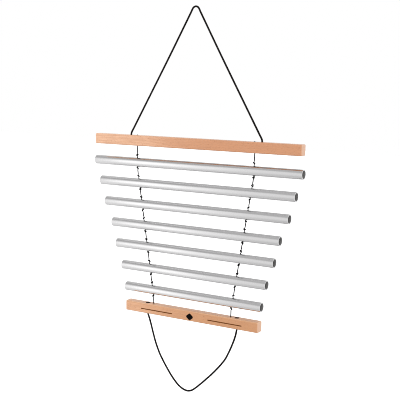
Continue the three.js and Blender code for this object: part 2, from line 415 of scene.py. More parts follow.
def sweep(name, line, settings, surface):
    full, sides = settings["diameter"] / 2, settings["sides"]
    reached = lengthsAlong(line)
    total, reach = reached[-1], roundedEnd["reach"] * full
    cap = full * (1 - np.cos(np.linspace(0, math.pi / 2, roundedEnd["rings"] + 1)[1:]))
    between = reached[(reached > reach) & (reached < total - reach)]
    along = np.concatenate([cap, between, total - cap[::-1]])
    rounding = np.sqrt(1 - np.clip(1 - np.minimum(along, total - along) / full, 0, 1) ** 2)
    tips = line[[0, -1], :3]
    line = placesAlong(line, along)
    path, count = line[:, :3], len(line)
    tight = line[:, 3] if line.shape[1] > 3 else np.zeros(count)  # only a knotted line has this column
    squeeze = 1 - settings["knotSqueeze"] * tight
    side, other = crossDirections(path)
    along = along[:, None]
    around = np.linspace(0, 2 * math.pi, sides, endpoint=False)[None, :]
    depth = settings["relief"](along, around, settings)
    radius = full * (squeeze * rounding)[:, None] * (1 - settings["reliefDepth"] * depth)
    out = np.cos(around)[..., None] * side[:, None] + np.sin(around)[..., None] * other[:, None]
    corners = np.concatenate([(path[:, None] + radius[..., None] * out).reshape(-1, 3), tips])
    rings = np.arange(count * sides).reshape(count, sides)
    first, last = count * sides, count * sides + 1
    begin, end = rings[0].tolist(), rings[-1].tolist()
    faces = ringFaces(rings)
    faces += [(first, b, a) for a, b in zip(begin, begin[1:] + begin[:1])]
    faces += [(last, a, b) for a, b in zip(end, end[1:] + end[:1])]
    mesh = bpy.data.meshes.new(name)
    mesh.from_pydata(corners.tolist(), [], faces)
    lay = np.stack(np.broadcast_arrays(along, np.cos(around), np.sin(around)), axis=-1).reshape(-1, 3)
    lay = np.concatenate([lay, [[0, 0, 0], [total, 0, 0]]])
    # the relief's depth also paints shade into the creases
    crease = np.concatenate([depth.reshape(-1), [1, 1]])
    mesh.attributes.new("lay", "FLOAT_VECTOR", "POINT").data.foreach_set("vector", lay.ravel())
    mesh.attributes.new("crease", "FLOAT", "POINT").data.foreach_set("value", crease.ravel())
    mesh.polygons.foreach_set("use_smooth", np.ones(len(mesh.polygons), bool))
    return newPiece(name, mesh, surface)


# Thick cords: the hanger above and the pull loop below, each with a knot sunk in its bar at both ends
cord = {
    "diameter": 0.0032,
    "sides": 24,
    "step": 0.00045,
    "relief": braidedStrands,
    "reliefDepth": 0.16,
    "carriers": 5,
    "layLength": 0.0112,
    "underHeight": 0.45,   # of a strand where it passes under another
    "knotSize": 0.00200,   # one string diameter of the knot's pattern
    "knotSqueeze": 0.25,
    "knotHalf": 0.0035,    # from a knot's middle to where it seats
    "knotTail": 0.0040,    # from a knot's middle to the cord's end
    "boreDepth": 0.0080,
    "joinDepth": 0.0020,   # the free cord starts this far inside its hole
    "bendInside": 0.0019,  # the bend at a bar's face, on its two sides of the hinge
    "bendOutside": 0.0064,
    "sheen": 0.015,
    "gloss": 0.12,
    "yarn": (0.0125, 0.0098, 0.0088, 1),
    # the dark colour is for dark fibres and for painted shade in the creases
    "darkFibreAndCreaseShade": (0.0012, 0.001, 0.001, 1),
    "fibreDepth": 0.00008,
}
hanger = {
    "length": 0.5062,
    "lay": "taut",
    "knotTurn": 1,         # radians, opposite on the two sides
    # the right leg, from the bar to the middle of the bend: across, up
    "leg": [
        (0.1264, -0.2116), (0.1257, -0.2090), (0.1207, -0.2004), (0.0959, -0.1580), (0.0711, -0.1156),
        (0.0464, -0.0731), (0.0222, -0.0307), (0.0087, -0.0070), (0.0060, -0.0020), (0.0044, 0),
        (0.0023, 0.0012), (0, 0.0016),
    ],
}
pullLoop = {
    "length": 0.3277,
    "lay": "hanging",
    "knotTurn": 2,         # radians, opposite on the two sides
    # from left to right: across, up from the bottom bar's underside
    "route": [
        (-0.0886, -0.0019), (-0.0875, -0.0050), (-0.0848, -0.0121), (-0.0820, -0.0202), (-0.0789, -0.0303),
        (-0.0758, -0.0403), (-0.0722, -0.0509), (-0.0679, -0.0610), (-0.0627, -0.0716), (-0.0563, -0.0819),
        (-0.0490, -0.0924), (-0.0407, -0.1035), (-0.0315, -0.1138), (-0.0219, -0.1221), (-0.0125, -0.1265),
        (-0.0038, -0.1274), (0.0040, -0.1245), (0.0115, -0.1187), (0.0200, -0.1109), (0.0295, -0.1016),
        (0.0400, -0.0910), (0.0505, -0.0795), (0.0602, -0.0679), (0.0685, -0.0563), (0.0748, -0.0437),
        (0.0800, -0.0317), (0.0842, -0.0206), (0.0870, -0.0111), (0.0882, -0.0050), (0.0886, -0.0019),
    ],
}
hangerAcross = hanger["leg"][0][0]
loopAcross = pullLoop["route"][-1][0]


def sunkKnots(kind, across, join, face, turn, body, surface):
    inward = math.copysign(1, face - join)
    seat = face - inward * cord["boreDepth"]
    centre = abs(seat - join) + cord["knotHalf"]
    knots = []
    for label, sign in leftRight:
        start = (sign * across, 0, join)
        end = (sign * across, 0, join + inward * (centre + cord["knotTail"]))
        line = knottedLine(start, end, [(centre, cord["knotSize"], sign * turn)], cord["step"])
        piece = sweep(f"{label}{kind.title()}Knot", line, cord, surface)
        knots.append(standFor(piece, f"{label}_{kind}_knot", body))
    return knots


def freeCord(name, node, route, surface):
    line = smoothRoute(route, cord["step"])
    piece = sweep(name, line, cord, surface)
    standFor(piece, node)
    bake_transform(piece)


def makeHanger(surface):
    join, hinge = topHigh.z - cord["joinDepth"], jointHeights["top_bar_swing"]
    right = [(hangerAcross, 0, join)] + [(x, 0, z) for x, z in hanger["leg"]]
    left = [(-x, 0, z) for x, _, z in right[:-1]]
    knots = sunkKnots("hanger", hangerAcross, join, topLow.z, hanger["knotTurn"], "top", surface)
    route = left + right[::-1]
    freeCord("hangerCord", "hanger_cord", route, surface)


def makePullLoop(surface):
    join, hinge = bottomLow.z + cord["joinDepth"], jointHeights["loop_swing"]
    hung = [(x, 0, bottomLow.z + z) for x, z in pullLoop["route"]]
    knots = sunkKnots("loop", loopAcross, join, bottomHigh.z, pullLoop["knotTurn"], "bottom", surface)
    route = [(-loopAcross, 0, join)] + hung + [(loopAcross, 0, join)]
    freeCord("pullLoop", "pull_loop", route, surface)


def makeCords():
    surface = makeYarn("braidedCord", cord)
    makeHanger(surface)
    makePullLoop(surface)


makeCords()
print("cords: hanger and pull loop")


# Strings: one on each side, knotted above and below every tube
string = {
    "diameter": 0.0018,
    "sides": 15,
    "step": 0.0004,
    "relief": twistedPlies,
    "reliefDepth": 0.17,
    "plies": 3,
    "layLength": 0.0070,
    "knotSize": 0.00128,     # one string diameter of the knot's pattern
    "knotSqueeze": 0.10,
    "knotHalf": 0.0025,      # from a knot's middle to where it seats
    "knotTail": 0.0030,      # from a knot's middle to the string's end
    "knotTurn": 2.1,         # radians, from a tube's upper knot to its lower one
    "tubeTurn": 1.7,         # radians, from tube to tube
    "upperKnotRise": 0.0045,
    "boreDepth": 0.0046,
    "holeRadius": 0.0013,
    "holeFlare": 0.00025,
    "holePast": 0.0010,      # a drill runs this far past a surface
    "holeSides": 32,
    "topBarSpan": 0.2275,
    "firstTubeSpan": 0.2250,
    "spanStep": 0.0118,
    "bottomBarSpan": 0.1530,
    "sheen": 0.015,
    "gloss": 0.12,
    "yarn": (0.0125, 0.0125, 0.0143, 1),
    # the dark colour is for dark fibres and for painted shade in the creases
    "darkFibreAndCreaseShade": (0.002, 0.002, 0.0023, 1),
    "fibreDepth": 0.00005,
}


def stringBends():
    names = [f"tube_{i + 1}_swing" for i in range(tubeCount)] + ["bottom_bar_swing"]
    tubeSpans = [string["firstTubeSpan"] - i * string["spanStep"] for i in range(tubeCount)]
    spans = [string["topBarSpan"]] + tubeSpans
    hinged = [(span / 2, jointHeights[name]) for span, name in zip(spans, names)]
    return hinged + [(string["bottomBarSpan"] / 2, bottomLow.z)]


bends = stringBends()


def stringLine(index, sign):
    (x, z), (nextX, nextZ) = bends[index:index + 2]
    return Vector((sign * x, 0, z)), Vector((sign * nextX, 0, nextZ))


def pointAt(start, end, height):
    return start + (end - start) * (start.z - height) / (start.z - end.z)


def makeAnchor(label, sign, surface):
    half, tail, rounded = string["knotHalf"], string["knotTail"], string["diameter"] / 2
    hole, middle = sign * string["topBarSpan"] / 2, topHigh.z - string["boreDepth"] + half
    begin, end = (hole, 0, middle + tail), (hole, 0, bends[0][1] - rounded)
    line = knottedLine(begin, end, [(tail, string["knotSize"], sign)], string["step"])
    piece = sweep(f"{label}StringAnchor", line, string, surface)
    standFor(piece, f"{label}_string_anchor", "top")


def makeStringLength(label, sign, index, surface):
    half, tail, rounded = string["knotHalf"], string["knotTail"], string["diameter"] / 2
    start, end = stringLine(index, sign)
    along = (end - start).normalized()
    begin = start - along * rounded  # rounded ends meet at the bend and turn there
    if index < tubeCount:
        tubeLow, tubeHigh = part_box(f"tube_{index + 1}")
        heights, body = [tubeHigh.z + string["upperKnotRise"], tubeLow.z - half], f"chime_{index + 1}"
        finish = end + along * rounded
    else:
        heights, body = [bottomLow.z + string["boreDepth"] - half], "bottom"
        finish = pointAt(start, end, heights[0] - tail)
    knots = []
    for place, height in enumerate(heights):
        turn = string["tubeTurn"] * index + string["knotTurn"] * place + sign
        knots.append(((pointAt(start, end, height) - begin).length, string["knotSize"], turn))
    line = knottedLine(begin, finish, knots, string["step"])
    piece = sweep(f"{label}String{index + 1}", line, string, surface)
    standFor(piece, f"{label}_string_{index + 1}", body)


def makeStrings():
    surface = makeYarn("twistedString", string)
    for label, sign in leftRight:
        makeAnchor(label, sign, surface)
        for index in range(tubeCount + 1):
            makeStringLength(label, sign, index, surface)


makeStrings()
print("strings: two, in", tubeCount + 1, "lengths each")


# Solid shapes: rings of corners joined into a skin, and cutters that are taken out of it
def skin(name, rings, closed=False):
    count, corners = len(rings), len(rings[0])
    order = np.arange(count * corners).reshape(count, corners)
    if closed:
        faces = ringFaces(np.vstack([order, order[:1]]))
    else:
        faces = ringFaces(order) + [order[0][::-1].tolist(), order[-1].tolist()]
    mesh = bpy.data.meshes.new(name)
    mesh.from_pydata(np.concatenate(rings).tolist(), [], faces)
    return mesh


def turnedRings(profile, count, start, axis):
    start, axis = np.array(start, float), np.array(axis, float)
    axis /= np.linalg.norm(axis)
    side = np.cross(axis, (0, 1, 0))
    side /= np.linalg.norm(side)
    other = np.cross(axis, side)
    around = np.linspace(0, 2 * math.pi, count, endpoint=False)[:, None]
    out = np.cos(around) * side + np.sin(around) * other
    return [start + axis * along + out * radius for radius, along in profile]


def quarterTurn(steps):
    return [math.pi / 2 * step / steps for step in range(steps + 1)]


weldReach = 0.000001  # corners nearer than this become one


def cutOut(piece, cutters):
    tools = bpy.data.collections.new(piece.name + "Cutters")
    for cutter in cutters:
        tools.objects.link(cutter)
    cut = piece.modifiers.new("cut", "BOOLEAN")
    cut.operation = "DIFFERENCE"
    cut.solver = "EXACT"
    cut.material_mode = "TRANSFER"
    cut.operand_type = "COLLECTION"
    cut.collection = tools
    piece.modifiers.new("weld", "WELD").merge_threshold = weldReach
    bpy.context.view_layer.update()
    shown = piece.evaluated_get(bpy.context.evaluated_depsgraph_get())
    mesh = bpy.data.meshes.new_from_object(shown)
    piece.modifiers.clear()
    before = piece.data
    piece.data = mesh
    mesh.name = before.name + "Cut"
    bpy.data.meshes.remove(before)
    bpy.data.collections.remove(tools)
    for cutter in cutters:
        bpy.data.meshes.remove(cutter.data)


def smoothFaces(mesh, sharpAngle):
    mesh.polygons.foreach_set("use_smooth", np.ones(len(mesh.polygons), bool))
    mesh.set_sharp_from_angle(angle=math.radians(sharpAngle))


def stringHole(name, index, sign, low, high, surface):
    start, end = stringLine(index, sign)
    top, bottom = pointAt(start, end, high), pointAt(start, end, low)
    radius, flare, past = string["holeRadius"], string["holeFlare"], string["holePast"]
    wide, depth = radius + flare + past, (bottom - top).length
    profile = [(wide, -past), (radius, flare), (radius, depth - flare), (wide, depth + past)]
    rings = turnedRings(profile, string["holeSides"], top, bottom - top)
    return newPiece(name, skin(name, rings), surface)


# Tubes of drawn aluminium, open at both ends and drilled through for the strings
tube = {
    "wall": 0.0015,
    "sides": 96,
    "edgeBreak": 0.0003,
    "edgeSteps": 3,
    "boreMargin": 0.00004,  # faces up to this far outside the bore's radius get the bore's finish
    "sharpAngle": 35,
    "lineDepth": 0.000004,
    "metallic": 1.0,
    "satin": {
        "Metal": (0.79, 0.785, 0.79, 1), "Draw Line": (0.70, 0.695, 0.705, 1),
        "Least Roughness": 0.19, "Most Roughness": 0.28,
    },
    # the bore is left rougher by the drawing; its darker colour is painted shade inside the tube
    "boreMetallic": 0.25,
    "dullAndShaded": {
        "Metal": (0.34, 0.335, 0.33, 1), "Draw Line": (0.22, 0.217, 0.214, 1),
        "Least Roughness": 0.50, "Most Roughness": 0.70,
    },
}
drawnFinish = {
    # noise: stretch along and across the tube, detail, roughness
    "lines": ((6.0, 2600.0, 2600.0), 4.0, 0.6),
    "handled": ((22.0, 60.0, 60.0), 3.0, 0.55),
    "speckle": ((4200.0, 4200.0, 4200.0), 2.0, 0.6),
    "lineShade": (0.5, 0.8, 0.0, 0.6),  # from low, from high, to low, to high
    "roughFrom": 0.35,                  # lines and handling together, where the roughness is least
    "roughTo": 0.65,                    # and most
    "speckleHeight": 0.6,               # beside the lines' own
}


def makeMetalGroup():
    inputs = [("Point", "Vector"), ("Metal", "Color"), ("Draw Line", "Color"),
              ("Least Roughness", "Float"), ("Most Roughness", "Float")]
    group, given, out = newGroup("drawnMetal", inputs, finishOutputs)
    lines, handled, speckle = (
        noise(group, given["Point"], *drawnFinish[key]) for key in ("lines", "handled", "speckle")
    )
    drawn = mapRange(group, lines, *drawnFinish["lineShade"])
    feed(group, out["Color"], mixColour(group, drawn, given["Metal"], given["Draw Line"]))
    mean = numbers(group, "MULTIPLY", numbers(group, "ADD", lines, handled), 0.5)
    reach = (drawnFinish["roughFrom"], drawnFinish["roughTo"])
    rough = mapRange(group, mean, *reach, given["Least Roughness"], given["Most Roughness"])
    feed(group, out["Roughness"], rough)
    speckled = numbers(group, "MULTIPLY", speckle, drawnFinish["speckleHeight"])
    feed(group, out["Height"], numbers(group, "ADD", lines, speckled))
    return group


def makeAluminium(name, group, metallic, finish):
    surface, tree, shader = newSurface(name, {"Metallic": metallic})
    point = addNode(tree, "ShaderNodeTexCoord").outputs["Object"]
    finishWith(tree, shader, group, {"Point": point, **finish}, tube["lineDepth"])
    return surface


def mirrored(profile):
    return [(radius, -along) for radius, along in profile[::-1]]


def tubeProfile(half, radius):
    edge, inner = tube["edgeBreak"], radius - tube["wall"]
    outer = []
    for angle in quarterTurn(tube["edgeSteps"]):
        outer.append((radius - edge + edge * math.sin(angle), -half + edge - edge * math.cos(angle)))
    bore = [(inner + edge / 2, half), (inner, half - edge / 2)]
    return outer + mirrored(outer) + bore + mirrored(bore)


def dullShadedBore(piece, centre, radius, surface):
    piece.data.materials.append(surface)
    for face in piece.data.polygons:
        if math.hypot(face.center.y - centre.y, face.center.z - centre.z) < radius:
            face.material_index = 1


def makeTubes():
    drawn = makeMetalGroup()
    outside = makeAluminium("satinAluminium", drawn, tube["metallic"], tube["satin"])
    inside = makeAluminium("dullShadedBore", drawn, tube["boreMetallic"], tube["dullAndShaded"])
    for index in range(tubeCount):
        low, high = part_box(f"tube_{index + 1}")
        half, radius = (high.x - low.x) / 2, (high.z - low.z) / 2
        name = f"tube{index + 1}"
        centre = (low + high) / 2
        rings = turnedRings(tubeProfile(half, radius), tube["sides"], centre, (1, 0, 0))
        piece = newPiece(name, skin(name, rings, closed=True), outside)
        # the bore's darker colour is painted shade
        dullShadedBore(piece, centre, radius - tube["wall"] + tube["boreMargin"], inside)
        holes = []
        for label, sign in leftRight:
            holes.append(stringHole(f"{label}Hole{index + 1}", index, sign, low.z, high.z, outside))
        cutOut(piece, holes)
        smoothFaces(piece.data, tube["sharpAngle"])
        standFor(piece, f"tube_{index + 1}", f"chime_{index + 1}")


makeTubes()
print("tubes:", tubeCount)


# Beech bars with eased edges, drilled for the cords and strings
bar = {
    "edgeRadius": 0.0020,
    "endEase": 0.0015,
    "easeShare": 0.5,        # the edges' radius falls by this share of the ends' easing
    "cornerSteps": 8,
    "easeSteps": 6,
    "stringBoreRadius": 0.0028,
    "cordHoleRadius": 0.0020,
    "cordBoreRadius": 0.0042,
    "drillPast": 0.0010,     # a drill runs this far past a surface
    "drillSides": 32,
    "sharpAngle": 40,
    "shine": {"Specular IOR Level": 0.45, "Coat Weight": 0.5, "Coat Roughness": 0.20},
    "grainDepth": 0.00003,
    # painted shade: the bores are coloured near black
    "boreShade": (0.016, 0.006, 0.0025, 1),
}
# both bars' wood, then each bar's own: pale along it to one place and warm from another; the paler left
# part is partly the wood's own tone and partly painted light from the key on the left
beechLook = {
    "Late": (0.52, 0.235, 0.115, 1),
    "Fleck": (0.34, 0.12, 0.045, 1),
    # paler edges: partly wear, partly painted highlight
    "Worn And Highlit": (0.90, 0.66, 0.46, 1),
    "Cut End": (0.78, 0.47, 0.31, 1),
    "Ring Width": 0.0031,
}
topBarLook = {
    "Pale And Lit": (0.910, 0.540, 0.340, 1),
    "Warm": (0.65, 0.293, 0.140, 1),
    "Pale To": -0.19,
    "Warm From": 0.05,
    "Heart": (0.010, 0.060, -0.300),
    "Shift": (0.0, 0.0, 0.0),
    "Wear And Highlight": 0.08,
}
bottomBarLook = {
    "Pale And Lit": (0.80, 0.437, 0.246, 1),
    "Warm": (0.625, 0.297, 0.130, 1),
    "Pale To": -0.14,
    "Warm From": 0.06,
    "Heart": (0.0, -0.045, -0.470),
    "Shift": (3.7, 3.7, 3.7),
    "Wear And Highlight": 0.30,
}
beechFinish = {
    # noise: stretch along and across the grain, detail, roughness
    "wander": ((7.0, 18.0, 18.0), 2.0, 0.55),
    "patches": ((45.0, 120.0, 120.0), 2.0, 0.55),
    "streaks": ((9.0, 420.0, 420.0), 4.0, 0.6),
    "pores": ((700.0, 5200.0, 5200.0), 2.0, 0.6),
    "dashes": ((260.0, 2100.0, 2100.0), 1.0, 0.4),
    "ringWander": 0.012,
    "colourWander": 0.10,
    "lateRise": (0.35, 0.92),       # a ring darkens over this part of its width
    "lateFall": (1.0, 0.93),        # and ends sharply
    "lateShare": 0.27,
    # ranges: from low, from high, to low, to high
    "patchShade": (0.40, 0.66, 0.0, 0.22),
    "streakShade": (0.42, 0.72, 0.0, 0.50),
    "poreShade": (0.58, 0.80, 0.0, 0.22),
    "dashShade": (0.62, 0.72, 0.0, 0.55),
    "endShade": (0.15, 0.90, 0.0, 0.75),
    # painted highlight: edges that face up are paler
    "wearAndHighlightFromAbove": (-0.5, 0.5, 0.1, 1.0),
    "roughness": (0.70, 1.30, 0.40, 0.58),
    "edgeReach": (0.0021, 0.0006),  # paler from the first distance, fully at the second
    "edgeSmoother": 0.08,
    "poreDepth": 0.5,
    "lateDepth": 0.4,
}
# Ornament on the bottom bar's front: a lozenge between two scored lines
ornament = {
    "across": 0.0012,
    "below": 0.0014,         # under the bar's middle
    "lineFrom": 0.0351,      # from the lozenge's middle
    "lineTo": 0.1000,
    "lineWidth": 0.0019,
    "lineDepth": 0.0005,
    "lozengeHalfWidth": 0.0067,
    "lozengeHalfHeight": 0.0060,
    "lozengeRound": 0.0024,
    "lozengeDepth": 0.0004,
    "cornerSteps": 8,
    "cutterFront": 0.0010,   # a cutter starts this far in front of the face
    "scored": (0.150, 0.050, 0.0105, 1),
    "black": (0.0034, 0.0014, 0.0009, 1),
}
ornamentHeight = (bottomLow.z + bottomHigh.z) / 2 - ornament["below"]


# Growth rings round the heart, wandering slowly along the bar
def lateWood(group, given, wander):
    fromHeart = vectors(group, "SUBTRACT", given["Point"], given["Heart"])
    acrossGrain = vectors(group, "MULTIPLY", fromHeart, (0.0, 1.0, 1.0))
    across = vectors(group, "LENGTH", acrossGrain, output="Value")
    sway = numbers(group, "MULTIPLY", wander, beechFinish["ringWander"])
    wandered = numbers(group, "ADD", across, sway)
    ring = numbers(group, "FRACT", numbers(group, "DIVIDE", wandered, given["Ring Width"]))
    rise, fall = (mapRange(group, ring, *beechFinish[key]) for key in ("lateRise", "lateFall"))
    return numbers(group, "MULTIPLY", rise, fall)


# A bar's edge is where two faces are near, so the second smallest distance to its faces tells it
def nearEdge(group, given):
    fromMiddle = vectors(group, "ABSOLUTE", vectors(group, "SUBTRACT", given["Point"], given["Middle"]))
    toFaces = vectors(group, "SUBTRACT", given["Half"], fromMiddle)
    x, y, z = addNode(group, "ShaderNodeSeparateXYZ", {0: toFaces}).outputs
    xy, yz, xz = (numbers(group, "MAXIMUM", *pair) for pair in ((x, y), (y, z), (x, z)))
    toEdge = numbers(group, "MINIMUM", numbers(group, "MINIMUM", xy, yz), xz)
    return mapRange(group, toEdge, *beechFinish["edgeReach"])


# painted light: paler towards the left, where the key light is, over the wood's own change of tone
def litPaleToWarm(group, given, wander):
    place = addNode(group, "ShaderNodeSeparateXYZ", {0: given["Point"]}).outputs[0]
    fromMiddle = numbers(group, "SUBTRACT", wander, noiseMiddle)
    sway = numbers(group, "MULTIPLY", fromMiddle, beechFinish["colourWander"])
    share = mapRange(group, numbers(group, "ADD", place, sway), given["Pale To"], given["Warm From"])
    return mixColour(group, share, given["Pale And Lit"], given["Warm"])


def shaded(group, base, pattern, shade, colour):
    return mixColour(group, mapRange(group, pattern, *beechFinish[shade]), base, colour)


def makeBeechGroup():
    sockets = {
        "Vector": ("Point", "Facing", "Heart", "Middle", "Half", "Shift"),
        "Color": ("Pale And Lit", "Warm", "Late", "Fleck", "Worn And Highlit", "Cut End"),
        "Float": ("Ring Width", "Pale To", "Warm From", "Wear And Highlight"),
    }
    inputs = [(name, kind) for kind, names in sockets.items() for name in names]
    group, given, out = newGroup("beechFigure", inputs, finishOutputs)
    point = vectors(group, "ADD", given["Point"], given["Shift"])
    keys = ("wander", "patches", "streaks", "pores", "dashes")
    wander, patches, streaks, pores, dashes = (noise(group, point, *beechFinish[key]) for key in keys)
    late = lateWood(group, given, wander)
    lateShare = numbers(group, "MULTIPLY", late, beechFinish["lateShare"])
    patched = shaded(group, litPaleToWarm(group, given, wander), patches, "patchShade", given["Late"])
    ringed = mixColour(group, lateShare, patched, given["Late"])
    streaked = shaded(group, ringed, streaks, "streakShade", given["Warm"])
    pored = shaded(group, streaked, pores, "poreShade", given["Fleck"])
    flecked = shaded(group, pored, dashes, "dashShade", given["Fleck"])
    # end faces are paler
    facing = addNode(group, "ShaderNodeSeparateXYZ", {0: given["Facing"]}).outputs
    ended = shaded(group, flecked, numbers(group, "ABSOLUTE", facing[0]), "endShade", given["Cut End"])
    # edges are rubbed smoother and paler, most from above; the paleness is partly wear and partly a
    # painted highlight on edges that face up
    edge = nearEdge(group, given)
    fromAbove = mapRange(group, facing[2], *beechFinish["wearAndHighlightFromAbove"])
    rubbed = numbers(group, "MULTIPLY", edge, numbers(group, "MULTIPLY", fromAbove, given["Wear And Highlight"]))
    feed(group, out["Color"], mixColour(group, rubbed, ended, given["Worn And Highlit"]))
    rough = mapRange(group, numbers(group, "ADD", streaks, pores), *beechFinish["roughness"])
    smoother = numbers(group, "MULTIPLY", edge, beechFinish["edgeSmoother"])
    feed(group, out["Roughness"], numbers(group, "SUBTRACT", rough, smoother))
    sunkPores = numbers(group, "MULTIPLY", pores, beechFinish["poreDepth"])
    sunkRings = numbers(group, "MULTIPLY", late, beechFinish["lateDepth"])
    sunk = numbers(group, "ADD", sunkPores, sunkRings)
    feed(group, out["Height"], numbers(group, "MULTIPLY", sunk, -1.0))
    return group


def makeBeech(name, group, look, low, high):
    surface, tree, shader = newSurface(name, bar["shine"])
    place = addNode(tree, "ShaderNodeTexCoord").outputs
    values = {
        "Point": place["Object"], "Facing": place["Normal"],
        "Middle": (low + high) / 2, "Half": (high - low) / 2,
        **beechLook, **look,
    }
    finishWith(tree, shader, group, values, bar["grainDepth"])
    return surface


# Cut wood, darkened: painted shade in the bores, and the scored lines and the lozenge in their own dark
# colours
stainAndShadeFinish = {
    "mottle": ((500.0, 1800.0, 1800.0), 3.0, 0.55),  # noise and ranges as for the beech
    "shade": (0.4, 0.7),
    "roughness": (0.3, 0.7, 0.55, 0.85),
    "lightest": 1.6,  # times the dark colour
    "shine": {"Specular IOR Level": 0.08},
}


def makeStainAndShadeGroup():
    inputs = [("Point", "Vector"), ("Stain And Shade", "Color"), ("Light", "Color")]
    group, given, out = newGroup("stainedAndShadedCut", inputs, finishOutputs)
    mottle = noise(group, given["Point"], *stainAndShadeFinish["mottle"])
    share = mapRange(group, mottle, *stainAndShadeFinish["shade"])
    feed(group, out["Color"], mixColour(group, share, given["Stain And Shade"], given["Light"]))
    feed(group, out["Roughness"], mapRange(group, mottle, *stainAndShadeFinish["roughness"]))
    feed(group, out["Height"], mottle)
    return group


def makeStainAndShade(name, group, colour):
    surface, tree, shader = newSurface(name, stainAndShadeFinish["shine"])
    light = tuple(channel * stainAndShadeFinish["lightest"] for channel in colour[:3]) + (1,)
    point = addNode(tree, "ShaderNodeTexCoord").outputs["Object"]
    values = {"Point": point, "Stain And Shade": colour, "Light": light}
    finishWith(tree, shader, group, values, bar["grainDepth"])
    return surface


def barRings(low, high):
    halfHeight, halfDepth = (high.z - low.z) / 2, (high.y - low.y) / 2
    centre = (low + high) / 2
    ease, steps = bar["endEase"], bar["cornerSteps"]
    stations = []
    for angle in quarterTurn(bar["easeSteps"]):
        stations.append((low.x + ease * (1 - math.cos(angle)), ease * (1 - math.sin(angle))))
    stations += [(low.x + high.x - x, inset) for x, inset in stations[::-1]]
    rings = []
    for x, inset in stations:
        radius = bar["edgeRadius"] - inset * bar["easeShare"]
        ring = []
        for corner, (sy, sz) in enumerate(((1, 1), (-1, 1), (-1, -1), (1, -1))):
            for step in range(steps + 1):
                angle = math.pi / 2 * (corner + step / steps)
                y = sy * (halfDepth - inset - radius) + radius * math.cos(angle)
                z = sz * (halfHeight - inset - radius) + radius * math.sin(angle)
                ring.append((x, centre.y + y, centre.z + z))
        rings.append(np.array(ring))
    return rings


def drill(name, across, face, depth, radius, surface):
    profile = [(radius, -bar["drillPast"]), (radius, abs(depth))]
    inward = (0, 0, math.copysign(1, depth))
    rings = turnedRings(profile, bar["drillSides"], (across, 0, face), inward)
    return newPiece(name, skin(name, rings), surface)


def frontCutter(name, outline, depth, surface):
    front = bottomLow.y
    faces = (front - ornament["cutterFront"], front + depth)
    rings = [np.array([(x, y, z) for x, z in outline[::-1]]) for y in faces]
    return newPiece(name, skin(name, rings), surface)


def arcPoints(x, z, radius, middle, spread):
    steps = ornament["cornerSteps"]
    angles = [middle + spread * (2 * step / steps - 1) for step in range(steps + 1)]
    return [(x + radius * math.cos(angle), z + radius * math.sin(angle)) for angle in angles]


def scoredLine(sign):
    height, radius = ornamentHeight, ornament["lineWidth"] / 2
    left, right = sorted(ornament["across"] + sign * ornament[key] for key in ("lineFrom", "lineTo"))
    points = arcPoints(right - radius, height, radius, 0, math.pi / 2)
    return points + arcPoints(left + radius, height, radius, math.pi, math.pi / 2)


def lozenge():
    middle, height, radius = ornament["across"], ornamentHeight, ornament["lozengeRound"]
    toSide, toTop = ornament["lozengeHalfWidth"] - radius, ornament["lozengeHalfHeight"] - radius
    lean = math.atan2(toSide, toTop)
    upright = math.pi / 2 - lean
    points = arcPoints(middle + toSide, height, radius, 0, lean)
    points += arcPoints(middle, height + toTop, radius, math.pi / 2, upright)
    points += arcPoints(middle - toSide, height, radius, math.pi, lean)
    return points + arcPoints(middle, height - toTop, radius, 1.5 * math.pi, upright)


def finishBar(piece, node, body, cutters):
    cutOut(piece, cutters)
    standFor(piece, node, body)
    smoothFaces(piece.data, bar["sharpAngle"])
    piece.modifiers.new("evenFaces", "WEIGHTED_NORMAL").keep_sharp = True


def makeTopBar(wood, boreShade):
    piece = newPiece("topBar", skin("topBar", barRings(topLow, topHigh)), wood)
    through = topHigh.z - topLow.z + bar["drillPast"]
    cutters = []
    for label, sign in leftRight:
        stringX, cordX = sign * string["topBarSpan"] / 2, sign * hangerAcross
        drills = [
            ("StringHole", stringX, topHigh.z, -through, string["holeRadius"]),
            ("StringBore", stringX, topHigh.z, -string["boreDepth"], bar["stringBoreRadius"]),
            ("CordHole", cordX, topHigh.z, -through, bar["cordHoleRadius"]),
            ("CordBore", cordX, topLow.z, cord["boreDepth"], bar["cordBoreRadius"]),
        ]
        cutters += [drill(label + name, *place, boreShade) for name, *place in drills]
    finishBar(piece, "top_bar", "top", cutters)


def makeBottomBar(wood, boreShade, scored, black):
    piece = newPiece("bottomBar", skin("bottomBar", barRings(bottomLow, bottomHigh)), wood)
    through = bottomHigh.z - bottomLow.z + bar["drillPast"]
    cutters = [frontCutter("lozenge", lozenge(), ornament["lozengeDepth"], black)]
    for label, sign in leftRight:
        stringX, cordX = sign * string["bottomBarSpan"] / 2, sign * loopAcross
        drills = [
            ("LastBore", stringX, bottomLow.z, string["boreDepth"], bar["stringBoreRadius"]),
            ("LoopHole", cordX, bottomHigh.z, -through, bar["cordHoleRadius"]),
            ("LoopBore", cordX, bottomHigh.z, -cord["boreDepth"], bar["cordBoreRadius"]),
        ]
        cutters.append(stringHole(f"{label}LastHole", tubeCount, sign, bottomLow.z, bottomHigh.z, boreShade))
        cutters += [drill(label + name, *place, boreShade) for name, *place in drills]
        cutters.append(frontCutter(f"{label}Line", scoredLine(sign), ornament["lineDepth"], scored))
    finishBar(piece, "bottom_bar", "bottom", cutters)


def makeBars():
    figure, stainAndShade = makeBeechGroup(), makeStainAndShadeGroup()
    # the bores' dark colour is painted shade
    boreShade = makeStainAndShade("shadedBoreBeech", stainAndShade, bar["boreShade"])
    scored = makeStainAndShade("scoredBeech", stainAndShade, ornament["scored"])
    black = makeStainAndShade("blackLozenge", stainAndShade, ornament["black"])
    wood = makeBeech("topBeech", figure, topBarLook, topLow, topHigh)
    makeTopBar(wood, boreShade)
    wood = makeBeech("bottomBeech", figure, bottomBarLook, bottomLow, bottomHigh)
    makeBottomBar(wood, boreShade, scored, black)


makeBars()
print("bars: top and bottom")


